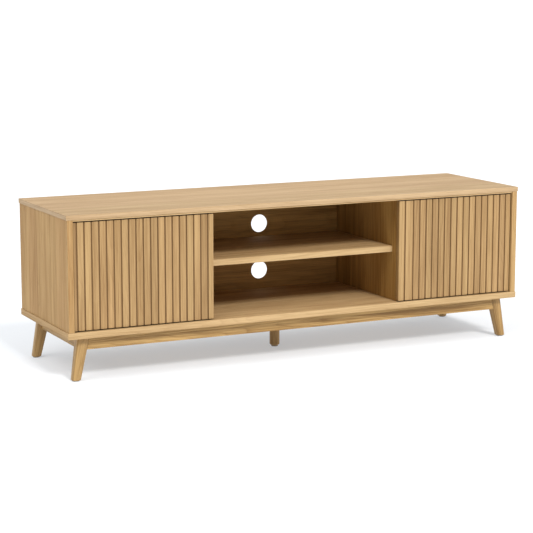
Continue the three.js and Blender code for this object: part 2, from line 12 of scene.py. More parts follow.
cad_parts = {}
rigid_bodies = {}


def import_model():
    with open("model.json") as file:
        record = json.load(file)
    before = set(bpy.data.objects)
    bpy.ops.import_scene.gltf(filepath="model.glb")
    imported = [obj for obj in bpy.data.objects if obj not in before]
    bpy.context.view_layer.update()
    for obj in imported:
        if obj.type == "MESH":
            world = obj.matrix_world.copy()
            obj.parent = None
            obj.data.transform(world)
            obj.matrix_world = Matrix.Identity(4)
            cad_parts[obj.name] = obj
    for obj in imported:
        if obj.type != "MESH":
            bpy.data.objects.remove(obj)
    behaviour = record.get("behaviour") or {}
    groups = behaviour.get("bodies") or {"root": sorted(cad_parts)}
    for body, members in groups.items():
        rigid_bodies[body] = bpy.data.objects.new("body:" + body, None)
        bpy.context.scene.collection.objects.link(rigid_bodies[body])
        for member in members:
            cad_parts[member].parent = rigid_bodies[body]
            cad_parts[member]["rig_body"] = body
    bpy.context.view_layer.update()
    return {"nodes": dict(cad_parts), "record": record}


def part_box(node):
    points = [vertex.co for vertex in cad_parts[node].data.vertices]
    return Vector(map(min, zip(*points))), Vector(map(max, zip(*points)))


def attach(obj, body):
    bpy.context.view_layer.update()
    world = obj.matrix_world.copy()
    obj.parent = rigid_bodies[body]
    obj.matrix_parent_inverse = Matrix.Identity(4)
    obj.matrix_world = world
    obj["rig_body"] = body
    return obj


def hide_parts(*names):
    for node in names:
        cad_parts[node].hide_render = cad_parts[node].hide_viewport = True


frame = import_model()

MM = 0.001
AXES = {"X": 0, "Y": 1, "Z": 2}

# ---------------------------------------------------------------- sizes

BOARD_EASE = 0.8 * MM              # sanded edge of a veneered board
SOLID_EASE = 1.6 * MM              # rounded edge of a solid oak rail
SHEET_METAL_EASE = 0.3 * MM
PLASTIC_EASE = 0.8 * MM
SHORTEST_EASED_EDGE = 9 * MM       # shorter edges belong to holes and fitted ends
SHORTEST_RAIL_EDGE = 100 * MM      # the same for rails
EASED_ANGLE = math.radians(40)     # edges that turn more than this are eased
SHARP_ANGLE = math.radians(35)     # edges that turn more than this are shaded sharp
RIM_ANGLE = math.radians(60)       # the rims of a flat board and its holes turn more than this
FLAT_ANGLE = math.radians(0.5)     # faces that turn less than this are one face
CAD_WELD = 0.01 * MM               # corners closer than this are one corner
TURNED_WELD = 0.001 * MM           # the same for a turned shape
FACING = 0.7                       # a face looks along an axis if its normal has more of it

GROOVE_DEPTH = 3 * MM
SLAT_EDGE_RADIUS = 1.2 * MM
SLAT_ARC_STEPS = 5
SLAT_END_EASE = 0.8 * MM
SLAT_END_TILT = 0.3                # faces that look up or down more than this are a slat's end
GROOVE_MATCH = 0.05 * MM           # how close to the grooves' depth a corner of their floor lies
SLAT_SURFACE = 0.1 * MM            # how close to a surface the middle of its faces lies

LEG_TOP = 40 * MM
LEG_FOOT = 28 * MM
LEG_CORNER_SHARE = 0.3             # of the leg's width, for the rounding of each corner
LEG_CORNER_STEPS = 8
LEG_FOOT_EASE = 1.2 * MM
CENTRE_LEG_CHAMFER = 5 * MM
CENTRE_LEG_SOFTENING = 0.6 * MM

CABLE_HOLE_RADIUS = 30 * MM
HOLE_STEPS = 96
HOLE_EASE = 0.35 * MM
TURNED_STEPS = 48
PIN_STEPS = 24
ROUNDING_STEPS = 5

GLIDE_ROUNDING = 0.9 * MM
PIN_ROUNDING = 0.6 * MM
PLUNGER_ROUNDING = 1.6 * MM
STRIKE_ROUNDING = 0.3 * MM

BACK_SCREW_INSET = 7 * MM
BACK_SCREW_PITCH = 140 * MM
BACK_SCREW_RADIUS = 2.6 * MM
BACK_SCREW_HEIGHT = 1.0 * MM

BRACKET_SHEET = 2 * MM
BRACKET_REACH = 32 * MM            # of the diagonal, along either rail
BRACKET_SCREW_INSET = 14 * MM
BRACKET_SCREW_RISE = 8 * MM        # above and below the bracket's middle
DIAGONAL_SHARE = 0.7               # of a step along the diagonal, about, along either rail
SCREW_STEPS = 20
BOLT_SIDES = 6
BOLT_RADIUS = 6.5 * MM
BOLT_HEIGHT = 4.5 * MM
BOLT_ROUNDING = 0.5 * MM

CUP_SCREW_INSET = 5.5 * MM
ARM_SEAT = 9 * MM                  # where the screws sit, in from the side panel's end of an arm
PLATE_SCREW_RISE = 11.5 * MM       # above and below the plate's middle
PLATE_SCREW_PLACE = 18 * MM        # forward of the arm's back end, as the next two
REAR_SCREW_PLACE = 9 * MM
FRONT_SCREW_PLACE = 30 * MM
PLATE_SCREW_RADIUS = 3.6 * MM
ARM_SCREW_RADIUS = 3.0 * MM

# ---------------------------------------------------------------- colour and nodes


def linear(hex_colour):
    """An sRGB hex colour as linear red, green, blue and alpha."""
    values = [int(hex_colour[i:i + 2], 16) / 255 for i in (1, 3, 5)]
    curve = [v / 12.92 if v <= 0.04045 else ((v + 0.055) / 1.055) ** 2.4 for v in values]
    return (*curve, 1.0)


def add_node(tree, kind, inputs=None, stops=None, **settings):
    """Adds a node. An input is a value, or the output socket that feeds it; stops fill a ramp."""
    made = tree.nodes.new(kind)
    for name, value in settings.items():
        setattr(made, name, value)
    for name, value in (inputs or {}).items():
        socket = made.inputs[name]
        if isinstance(value, bpy.types.NodeSocket):
            tree.links.new(value, socket)
        else:
            socket.default_value = value
    if stops:
        elements = made.color_ramp.elements
        while len(elements) < len(stops):
            elements.new(0.5)
        for element, (position, colour) in zip(elements, stops):
            element.position = position
            element.color = linear(colour) if isinstance(colour, str) else colour
    return made


def new_material(name):
    """An empty material, its node tree and its output node."""
    material = bpy.data.materials.new(name)
    material.use_nodes = True
    tree = material.node_tree
    tree.nodes.clear()
    output = add_node(tree, "ShaderNodeOutputMaterial")
    return material, tree, output


BLACK = (0.0, 0.0, 0.0, 1.0)
WHITE = (1.0, 1.0, 1.0, 1.0)

# ---------------------------------------------------------------- oak

RING_WIDTH = 5.2 * MM      # growth rings of 3 to 6 mm on a flat-sawn face
ARCH_SLOPE = 0.035         # a flat-sawn arch is about 30 times longer than a ring is wide
ARCH_FOCUS = 0.15          # how far from the heart an arch's flanks run straight, in metres
HEART_WANDER = 15 * MM     # how far a leaf's heart strays to each side
PORE_DEPTH = 0.1 * MM

# Noise patterns of oak: how many to a metre along the grain and across it, and their detail.
# Pores are 0.2 to 0.3 mm wide, and are drawn about 0.6 mm wide so that they show.
OAK_PATTERNS = {
    "wander": (2.2, 14.0, 2.0),
    "cloud": (1.3, 9.0, 2.0),
    "band": (1.6, 42.0, 3.0),
    "fibre": (7.0, 330.0, 4.0),
    "pore": (48.0, 1500.0, 2.0),
}
NOISE_ROUGHNESS = 0.56
MIDDLE_OF_NOISE = 0.42
LEAVES_SKIPPED = 7.0       # a board starts up to this many leaves on
BOARD_STEP = 91.0          # keeps the leaves of different boards apart in the random draw
LOG_REACH = (4.0, 0.0, 20.0)            # how far apart in the log leaves are cut, in metres
KNOTS_TO_A_METRE = (3.6, 16.0, 1.0)     # along the grain, across it and into the log
KNOT_SWIRL = 0.12
PORE_NOISE = (0.56, 0.68)               # where the pore pattern starts to open, and is fully open
LATEWOOD_PORES = 0.3                    # of the pores in earlywood

# From the start of a ring, which is earlywood, through its latewood to the next ring
RING_RAMP = [(0.0, WHITE), (0.3, "#a0a0a0"), (0.8, BLACK), (0.96, "#6c6c6c"), (1.0, WHITE)]
# From a knot's middle outwards
KNOT_RAMP = [(0.10, WHITE), (0.17, "#b3b3b3"), (0.24, "#cccccc"), (0.42, BLACK)]

# How much each cause darkens the wood. The first three also scale with a finish's streaks.
FIBRE_SHARE = 3.4
BAND_SHARE = 3.2
CLOUD_SHARE = 2.4
PORE_SHARE = 0.28
# how much the painted shade of the "darkened" value darkens the wood
PAINTED_SHADE_SHARE = 0.85
MOST_DARKENED = 0.9

# How much of the tone, from cool to warm, is the leaf's own and how much varies within it
LEAF_TONE = 0.5
CLOUD_TONE = 0.55

# The "darkened" value of a face, which is mostly painted shade. Plain lacquered oak has 0, and
# values in between blend.
BARE = -1              # veneer without lacquer
BAY_SHADE = 0.2       # painted shade on the upper faces in the bay, a little darker than plain
BROWNER_AND_GAP_SHADE = 0.3     # browner edge band and dividers, and painted shade of the gaps beside the doors
FULL_PAINTED_SHADE = 1             # full painted shade; above this it blends towards the near-black painted gap shade
GROOVE_SHADE = 1.25         # painted shade in the grooves between slats
BLACK_GAP_SHADE = 2          # painted shade of the gaps above and below the doors, near-black on their ends
# The near-black colour of the painted shade in the gaps above and below the doors
GAP_SHADE_COLOUR = "#2a190b"
BARE_SATURATION = 0.78     # of what it is under lacquer

GLOSS_CHANGE = 0.08
GRAIN_RELIEF = 0.35
PORE_SINK = -2.0           # of the height that fibre stands up
LACQUER_IOR = 1.5


def cut_leaves(tree, grain, board, leaf):
    """Cuts a board into leaves of veneer. Returns how many leaves in a point is, the leaf's own
    three random shares, and the point's place in the log."""
    place = add_node(tree, "ShaderNodeSeparateXYZ", {0: grain})
    first_leaf = add_node(tree, "ShaderNodeMath", {0: board, 1: LEAVES_SKIPPED},
                          operation="MULTIPLY")
    leaves_in = add_node(tree, "ShaderNodeMath", {
        0: place.outputs["Y"], 1: 1 / leaf, 2: first_leaf.outputs[0]}, operation="MULTIPLY_ADD")
    leaf_number = add_node(tree, "ShaderNodeMath", {0: leaves_in.outputs[0]}, operation="FLOOR")
    leaf_seed = add_node(tree, "ShaderNodeMath", {
        0: board, 1: BOARD_STEP, 2: leaf_number.outputs[0]}, operation="MULTIPLY_ADD")
    chance = add_node(tree, "ShaderNodeTexWhiteNoise", {"W": leaf_seed.outputs[0]},
                      noise_dimensions="1D")
    own = add_node(tree, "ShaderNodeSeparateColor", {0: chance.outputs["Color"]})
    in_log = add_node(tree, "ShaderNodeVectorMath", {
        0: chance.outputs["Color"], 1: LOG_REACH, 2: grain}, operation="MULTIPLY_ADD")
    return leaves_in.outputs[0], own.outputs, in_log.outputs[0]


def stretch_noise(tree, in_log):
    """Oak's noise patterns by name, each stretched along the grain."""
    noise = {}
    for pattern, (along, across, detail) in OAK_PATTERNS.items():
        stretched = add_node(tree, "ShaderNodeMapping", {
            "Vector": in_log, "Scale": (along, across, 1.0)})
        noise[pattern] = add_node(tree, "ShaderNodeTexNoise", {
            "Vector": stretched.outputs[0], "Scale": 1.0, "Detail": detail,
            "Roughness": NOISE_ROUGHNESS}).outputs["Fac"]
    return noise


def grow_rings(tree, leaves_in, in_log, wander, leaf):
    """Growth rings met at a slant: arches in the middle of a leaf, near-straight lines beside it.
    The result is 1 in the soft, early part of each ring and 0 in its hard, late part."""
    in_leaf = add_node(tree, "ShaderNodeMath", {0: leaves_in}, operation="FRACT")
    from_middle = add_node(tree, "ShaderNodeMapRange", {
        "Value": in_leaf.outputs[0], "To Min": -leaf / 2, "To Max": leaf / 2})
    stray = add_node(tree, "ShaderNodeMapRange", {
        "Value": wander, "To Min": -HEART_WANDER, "To Max": HEART_WANDER})
    from_heart = add_node(tree, "ShaderNodeMath", {0: from_middle.outputs[0], 1: stray.outputs[0]},
                          operation="ADD")
    flank = add_node(tree, "ShaderNodeMath", {0: from_heart.outputs[0], 1: from_heart.outputs[0]},
                     operation="MULTIPLY")
    depth = add_node(tree, "ShaderNodeMath", {
        0: flank.outputs[0], 1: 1 / ARCH_FOCUS, 2: stray.outputs[0]}, operation="MULTIPLY_ADD")
    along = add_node(tree, "ShaderNodeSeparateXYZ", {0: in_log})
    depth = add_node(tree, "ShaderNodeMath", {
        0: along.outputs["X"], 1: ARCH_SLOPE, 2: depth.outputs[0]}, operation="MULTIPLY_ADD")
    rings = add_node(tree, "ShaderNodeMath", {0: depth.outputs[0], 1: 1 / RING_WIDTH},
                     operation="MULTIPLY")
    phase = add_node(tree, "ShaderNodeMath", {0: rings.outputs[0]}, operation="FRACT")
    ring = add_node(tree, "ShaderNodeValToRGB", {0: phase.outputs[0]}, stops=RING_RAMP)
    return add_node(tree, "ShaderNodeRGBToBW", {0: ring.outputs[0]}).outputs[0]


def open_pores(tree, noise, ring):
    """Pores crowd into the soft, early part of each ring."""
    closed, opened = PORE_NOISE
    pores = add_node(tree, "ShaderNodeMapRange", {
        "Value": noise, "From Min": closed, "From Max": opened})
    crowding = add_node(tree, "ShaderNodeMapRange", {"Value": ring, "To Min": LATEWOOD_PORES})
    return add_node(tree, "ShaderNodeMath", {0: pores.outputs[0], 1: crowding.outputs[0]},
                    operation="MULTIPLY").outputs[0]


def place_knots(tree, in_log, fibre):
    """Sound knots, at most one in each 0.3 m along the grain. The dark middle is up to about
    12 mm across the grain and 50 mm along it."""
    stretched = add_node(tree, "ShaderNodeMapping", {"Vector": in_log, "Scale": KNOTS_TO_A_METRE})
    cell = add_node(tree, "ShaderNodeTexVoronoi", {"Vector": stretched.outputs[0], "Scale": 1.0})
    swirl = add_node(tree, "ShaderNodeMath", {
        0: fibre, 1: KNOT_SWIRL, 2: cell.outputs["Distance"]}, operation="MULTIPLY_ADD")
    knot = add_node(tree, "ShaderNodeValToRGB", {0: swirl.outputs[0]}, stops=KNOT_RAMP)
    return add_node(tree, "ShaderNodeRGBToBW", {0: knot.outputs[0]}).outputs[0]


def colour_wood(tree, cool, warm, dark, own, cloud, dim, darkened, spread):
    """The leaf's own tone between cool and warm, darkened by dim, then blended towards the
    near-black painted gap shade where darkened is above 1, and desaturated where the wood is bare.
    """
    tone = add_node(tree, "ShaderNodeMath", {0: own[2], 1: LEAF_TONE}, operation="MULTIPLY")
    tone = add_node(tree, "ShaderNodeMath", {0: cloud, 1: CLOUD_TONE, 2: tone.outputs[0]},
                    operation="MULTIPLY_ADD")
    wood = add_node(tree, "ShaderNodeMix", {
        "Factor": tone.outputs[0], 6: linear(cool), 7: linear(warm)}, data_type="RGBA")
    wood = add_node(tree, "ShaderNodeMix", {
        "Factor": dim, 6: wood.outputs[2], 7: linear(dark)}, data_type="RGBA")
    # Painted shade: above 1 the darkened value blends the wood towards the near-black gap colour.
    gap_shade = add_node(tree, "ShaderNodeMapRange", {
        "Value": darkened, "From Min": FULL_PAINTED_SHADE, "From Max": BLACK_GAP_SHADE})
    wood = add_node(tree, "ShaderNodeMix", {
        "Factor": gap_shade.outputs[0], 6: wood.outputs[2], 7: linear(GAP_SHADE_COLOUR)}, data_type="RGBA")
    depth = add_node(tree, "ShaderNodeMapRange", {
        "Value": own[0], "To Min": 1 - spread / 2, "To Max": 1 + spread / 2})
    lacquered = add_node(tree, "ShaderNodeMapRange", {
        "Value": darkened, "From Min": BARE, "From Max": 0.0, "To Min": BARE_SATURATION})
    return add_node(tree, "ShaderNodeHueSaturation", {
        "Saturation": lacquered.outputs[0], "Value": depth.outputs[0],
        "Color": wood.outputs[2]}).outputs[0]


def oak(name, cool, warm, dark, leaf, figure, streaks, knots=0.0, spread=0.16,
        roughness=0.55, shine=0.35):
    """Oak under satin lacquer. It reads the piece's "grain" map, in metres, with U along the
    grain, "board", a random share for each board or slat, and "darkened", which is mostly painted
    shade: a little on upper faces in the bay and on browner bands, 1 or a little more in grooves,
    2 on the doors' ends, painted near-black for the gaps, and -1 where the wood is bare.

    cool and warm are the tones that leaves vary between, and dark is the earlywood and the pores.
    leaf is the width of a veneer leaf or stave. figure is the strength of the growth rings,
    streaks that of the fibre, knots that of the knots, and spread how much boards differ."""
    material, tree, output = new_material(name)
    grain = add_node(tree, "ShaderNodeUVMap", uv_map="grain").outputs["UV"]
    board = add_node(tree, "ShaderNodeAttribute", attribute_name="board").outputs["Fac"]
    darkened = add_node(tree, "ShaderNodeAttribute", attribute_name="darkened").outputs["Fac"]
    leaves_in, own, in_log = cut_leaves(tree, grain, board, leaf)
    noise = stretch_noise(tree, in_log)
    ring = grow_rings(tree, leaves_in, in_log, noise["wander"], leaf)
    pores = open_pores(tree, noise["pore"], ring)
    # The painted shade carried by "darkened", as one cause of darkening.
    painted_shade = add_node(tree, "ShaderNodeClamp", {"Value": darkened, "Max": BLACK_GAP_SHADE})

    # How much darker the wood is than its pale parts, all causes together.
    causes = [(ring, figure), (noise["fibre"], FIBRE_SHARE * streaks),
              (noise["band"], BAND_SHARE * streaks), (noise["cloud"], CLOUD_SHARE * streaks),
              (pores, PORE_SHARE), (painted_shade.outputs[0], PAINTED_SHADE_SHARE)]
    if knots:
        causes.append((place_knots(tree, in_log, noise["fibre"]), knots))
    dim = -MIDDLE_OF_NOISE * (FIBRE_SHARE + BAND_SHARE + CLOUD_SHARE) * streaks
    for cause, share in causes:
        dim = add_node(tree, "ShaderNodeMath", {0: cause, 1: share, 2: dim},
                       operation="MULTIPLY_ADD").outputs[0]
    dim = add_node(tree, "ShaderNodeClamp", {"Value": dim, "Max": MOST_DARKENED})

    wood = colour_wood(
        tree, cool, warm, dark, own, noise["cloud"], dim.outputs[0], darkened, spread)
    gloss = add_node(tree, "ShaderNodeMapRange", {
        "Value": noise["fibre"],
        "To Min": roughness - GLOSS_CHANGE, "To Max": roughness + GLOSS_CHANGE})
    height = add_node(tree, "ShaderNodeMath", {0: pores, 1: PORE_SINK, 2: noise["fibre"]},
                      operation="MULTIPLY_ADD")
    relief = add_node(tree, "ShaderNodeBump", {
        "Strength": GRAIN_RELIEF, "Distance": PORE_DEPTH, "Height": height.outputs[0]})
    surface = add_node(tree, "ShaderNodeBsdfPrincipled", {
        "Base Color": wood, "Roughness": gloss.outputs[0], "Normal": relief.outputs[0],
        "IOR": LACQUER_IOR, "Specular IOR Level": shine})
    tree.links.new(surface.outputs[0], output.inputs[0])
    return material


def top_veneer():
    """Oak veneer, satin lacquered: the panel people look down on has pale, straight leaves."""
    return oak("satin_oak_veneer_top", "#c1a67c", "#c5a57f", "#8f6f47", leaf=0.15,
               figure=0.10, streaks=0.34, spread=0.05, roughness=0.5)


def carcass_veneer():
    """Oak veneer and edge band along the shelf, the bottom panel and the rail."""
    return oak("satin_oak_veneer_long", "#c6aa7b", "#cdac80", "#8e6b40", leaf=0.16,
               figure=0.12, streaks=0.34, spread=0.06, roughness=0.7, shine=0.2)


def side_veneer():
    """Upright oak veneer on the ends, with broad soft streaks."""
    return oak("satin_oak_veneer_end", "#b99968", "#be996a", "#8a653c", leaf=0.09,
               figure=0.14, streaks=0.4, spread=0.06, shine=0.06)


def fluted_oak():
    """Solid oak slats, each cut from another stave, so that their tones vary."""
    return oak("satin_oak_slats", "#b29363", "#b69162", "#7d5b32", leaf=0.3,
               figure=0.14, streaks=0.4, spread=0.1)


def door_veneer():
    """Oak veneer on the doors' boards, with browner edge band."""
    return oak("satin_oak_veneer_door", "#a38552", "#a88353", "#73522c", leaf=0.12,
               figure=0.14, streaks=0.4, spread=0.06)


def interior_veneer():
    """Oak veneer inside, left thinner in lacquer, so it is duller. Its colour is darker and
    browner than the outer veneer: painted shade of the bay and the cupboards.
    """
    return oak("dull_oak_veneer_inside_painted_shade", "#ba9454", "#c19457", "#825c29", leaf=0.2,
               figure=0.16, streaks=0.42, spread=0.05, roughness=0.65, shine=0.25)


def leg_oak():
    """Turned and sanded solid oak, lacquered, with the grain down the leg."""
    return oak("lacquered_oak_leg", "#ba9963", "#bd9863", "#7d5d30", leaf=0.06,
               figure=0.26, streaks=0.5, spread=0.08, roughness=0.45)


def apron_oak():
    """Rustic solid oak rails with small sound knots and darker heartwood."""
    return oak("lacquered_oak_apron", "#c5a369", "#c59f65", "#805e30", leaf=0.08,
               figure=0.3, streaks=0.6, knots=0.75, spread=0.08, roughness=0.5)


# ---------------------------------------------------------------- metal, plastic and felt

TIMES_FINER = 6                # the fine pattern against the coarse one
MIDDLE_SPAN = (0.3, 0.7)       # where most of a noise pattern's values lie
SHADE_SPAN = (0.92, 1.05)      # how dark and how pale a finish gets
SPECKLE_RELIEF = 0.4


def speckled(name, colour, metallic, roughness, spacing, change, depth, **sockets):
    """A plain finish whose gloss and surface vary over about spacing metres."""
    material, tree, output = new_material(name)
    low, high = MIDDLE_SPAN
    darkest, palest = SHADE_SPAN
    coordinates = add_node(tree, "ShaderNodeTexCoord")
    noise = add_node(tree, "ShaderNodeTexNoise", {
        "Vector": coordinates.outputs["Object"], "Scale": 1 / spacing, "Detail": 3.0})
    fine = add_node(tree, "ShaderNodeTexNoise", {
        "Vector": coordinates.outputs["Object"], "Scale": TIMES_FINER / spacing, "Detail": 2.0})
    gloss = add_node(tree, "ShaderNodeMapRange", {
        "Value": noise.outputs["Fac"], "From Min": low, "From Max": high,
        "To Min": roughness - change, "To Max": roughness + change})
    shade = add_node(tree, "ShaderNodeMapRange", {
        "Value": fine.outputs["Fac"], "From Min": low, "From Max": high,
        "To Min": darkest, "To Max": palest})
    tinted = add_node(tree, "ShaderNodeHueSaturation", {
        "Value": shade.outputs[0], "Color": linear(colour)})
    relief = add_node(tree, "ShaderNodeBump", {
        "Strength": SPECKLE_RELIEF, "Distance": depth, "Height": fine.outputs["Fac"]})
    surface = add_node(tree, "ShaderNodeBsdfPrincipled", {
        "Base Color": tinted.outputs[0], "Metallic": metallic, "Roughness": gloss.outputs[0],
        "Normal": relief.outputs[0], **sockets})
    tree.links.new(surface.outputs[0], output.inputs[0])
    return material


def plated_steel():
    """Stamped steel, nickel plated: bright, with a faint waviness."""
    return speckled("nickel_plated_steel", "#c9c6c0", 1.0, 0.26, 8 * MM, 0.06, 0.05 * MM)


def zinc_steel():
    """Zinc plated steel: greyer, with a mottled bloom."""
    return speckled("zinc_plated_steel", "#b3b5b8", 1.0, 0.42, 5 * MM, 0.1, 0.05 * MM)


def grey_plastic():
    """Moulded grey ABS with a fine spark-eroded texture."""
    return speckled("moulded_grey_abs", "#8b8b88", 0.0, 0.5, 3 * MM, 0.05, 0.04 * MM, IOR=1.5)


def white_plastic():
    """Moulded white acetal, smooth and a little waxy."""
    return speckled("moulded_white_acetal", "#e4e1da", 0.0, 0.38, 6 * MM, 0.04, 0.02 * MM,
                    IOR=1.48)


def felt():
    """Pressed undyed wool felt: matt, beige and fibrous."""
    return speckled("pressed_wool_felt", "#a2988a", 0.0, 0.95, 1.2 * MM, 0.03, 0.25 * MM)


finishes = {
    "top_veneer": top_veneer(),
    "side_veneer": side_veneer(),
    "fluted_oak": fluted_oak(),
    "door_veneer": door_veneer(),
    "interior_veneer": interior_veneer(),
    "carcass_veneer": carcass_veneer(),
    "leg_oak": leg_oak(),
    "apron_oak": apron_oak(),
    "plated_steel": plated_steel(),
    "zinc_steel": zinc_steel(),
    "grey_plastic": grey_plastic(),
    "white_plastic": white_plastic(),
    "felt": felt(),
}

# ---------------------------------------------------------------- making pieces

chances = random.Random(7)

BOARD_SHIFT = 5          # how far along the log a board may be cut, in metres
SLAT_SHIFT = 9           # the same for a slat
SIDE_SHIFT = 0.31        # each direction of a board's faces shows another stretch, in metres
FAR_SIDE_SHIFT = 0.17    # and so does the far one of two faces

# A pan head's proportions, as shares of its radius and of its height
RECESS_ARM = 0.62
RECESS_HALF_WIDTH = 0.16
RECESS_DEPTH = 0.75
FLAT_TOP_RADIUS = 0.78
SHOULDER_DROP = 0.45


def lay_grain(bm, grain, board_of=None, darkness_of=None):
    """Maps the grain over a piece, in metres: U runs along the grain axis and V across it. On
    the board's ends, where an edge band runs, U follows the longer side. board_of gives a face's
    share and shift; otherwise the whole piece is one board. darkness_of gives its "darkened"."""
    uv = bm.loops.layers.uv.new("grain")
    board = bm.faces.layers.float.new("board")
    darkened = bm.faces.layers.float.new("darkened")
    grain_axis = AXES[grain]
    spans = [max(v.co[i] for v in bm.verts) - min(v.co[i] for v in bm.verts) for i in range(3)]
    own_share = chances.random()
    own_shift = chances.uniform(0, BOARD_SHIFT)
    bm.normal_update()
    for face in bm.faces:
        facing = max(range(3), key=lambda i: abs(face.normal[i]))
        others = [i for i in range(3) if i != facing]
        if grain_axis in others:
            u_axis = grain_axis
        else:
            u_axis = max(others, key=lambda i: spans[i])
        v_axis = next(i for i in others if i != u_axis)
        share, shift = board_of(face) if board_of else (own_share, own_shift)
        face[board] = share
        face[darkened] = darkness_of(face) if darkness_of else 0
        side_shift = SIDE_SHIFT * facing + (FAR_SIDE_SHIFT if face.normal[facing] > 0 else 0)
        for loop in face.loops:
            co = loop.vert.co
            loop[uv].uv = (co[u_axis] + shift, co[v_axis] + side_shift + shift)


def wrap_grain(bm, foot, top):
    """Maps the grain around a leg: U runs up it, V the way round, and the seam faces inwards."""
    uv = bm.loops.layers.uv.new("grain")
    board = bm.faces.layers.float.new("board")
    share, shift = chances.random(), chances.uniform(0, BOARD_SHIFT)
    foot, top = Vector(foot), Vector(top)
    reach = min(v.co.x for v in bm.verts), max(v.co.x for v in bm.verts)
    radius = (reach[1] - reach[0]) / 2
    outward = math.atan2(foot.y, foot.x)

    def turn_of(co):
        middle = foot.lerp(top, (co.z - foot.z) / (top.z - foot.z))
        turn = math.atan2(co.y - middle.y, co.x - middle.x) - outward
        return (turn + math.pi) % math.tau - math.pi

    for face in bm.faces:
        face[board] = share
        face_turn = turn_of(face.calc_center_median())
        for loop in face.loops:
            turn = turn_of(loop.vert.co)
            turn += math.tau * round((face_turn - turn) / math.tau)
            loop[uv].uv = (loop.vert.co.z + shift, turn * radius)


def make_piece(name, bm, slot, body, replaced=()):
    """Turns a finished bmesh into a piece with the slot's finish that rides on a body."""
    mesh = bpy.data.meshes.new(name)
    bm.to_mesh(mesh)
    bm.free()
    mesh.polygons.foreach_set("use_smooth", [True] * len(mesh.polygons))
    mesh.set_sharp_from_angle(angle=SHARP_ANGLE)
    piece = bpy.data.objects.new(name, mesh)
    bpy.context.scene.collection.objects.link(piece)
    mesh.materials.append(finishes[slot])
    weighted = piece.modifiers.new("even_shading", "WEIGHTED_NORMAL")
    weighted.keep_sharp = True
    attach(piece, body)
    if replaced:
        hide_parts(*replaced)


def verts_of(geometry):
    """The corners among what an operator made."""
    return [g for g in geometry if isinstance(g, bmesh.types.BMVert)]


def edges_of(geometry):
    """The edges among what an operator made."""
    return [g for g in geometry if isinstance(g, bmesh.types.BMEdge)]


def faces_around(verts):
    """The faces that touch the corners, each once."""
    return list(dict.fromkeys(face for vert in verts for face in vert.link_faces))


def bevel_edges(bm, edges, width, steps):
    """Rounds edges with an arc of that many steps."""
    bmesh.ops.bevel(bm, geom=edges, offset=width, offset_type="OFFSET", segments=steps,
                    profile=0.5, affect="EDGES", clamp_overlap=True, material=-1)


def cad_copy(node):
    """A bmesh of a CAD node's shape, its loose triangles merged into whole faces."""
    bm = bmesh.new()
    bm.from_mesh(frame["nodes"][node].data)
    bmesh.ops.remove_doubles(bm, verts=bm.verts, dist=CAD_WELD)
    bmesh.ops.dissolve_limit(bm, angle_limit=FLAT_ANGLE, verts=bm.verts, edges=bm.edges)
    return bm


def ease_edges(bm, width, steps=2, shortest=SHORTEST_EASED_EDGE):
    """Rounds the sharp edges that are longer than shortest."""
    edges = [
        e for e in bm.edges
        if len(e.link_faces) == 2 and e.calc_length() > shortest
        and e.calc_face_angle(0) > EASED_ANGLE
    ]
    bevel_edges(bm, edges, width, steps)


def move_to(verts, centre, axis):
    """Turns what was made about +Z to point along axis, and moves it to centre."""
    turn = Vector((0, 0, 1)).rotation_difference(Vector(axis)).to_matrix().to_4x4()
    for vert in verts:
        vert.co = Matrix.Translation(centre) @ turn @ vert.co


def add_turned(bm, profile, centre, axis, steps=TURNED_STEPS):
    """Spins a profile of (radius, height) points, which starts and ends on the axis."""
    before = set(bm.verts)
    points = [bm.verts.new((radius, 0, height)) for radius, height in profile]
    edges = [bm.edges.new(pair) for pair in zip(points, points[1:])]
    bmesh.ops.spin(bm, geom=points + edges, cent=(0, 0, 0), axis=(0, 0, 1), dvec=(0, 0, 0),
                   angle=math.tau, steps=steps, use_merge=True)
    made = [v for v in bm.verts if v not in before]
    bmesh.ops.remove_doubles(bm, verts=made, dist=TURNED_WELD)
    made = [v for v in bm.verts if v not in before]
    bmesh.ops.recalc_face_normals(bm, faces=faces_around(made))
    move_to(made, centre, axis)


def rounded_profile(radius, low, high, rounding):
    """The profile of a disc or rod with both rims rounded."""
    steps = ROUNDING_STEPS
    profile = [(0, low)]
    for i in range(steps + 1):
        angle = -math.pi / 2 + i * math.pi / 2 / steps
        profile.append((radius - rounding + rounding * math.cos(angle),
                        low + rounding + rounding * math.sin(angle)))
    for i in range(steps + 1):
        angle = i * math.pi / 2 / steps
        profile.append((radius - rounding + rounding * math.cos(angle),
                        high - rounding + rounding * math.sin(angle)))
    profile.append((0, high))
    return profile


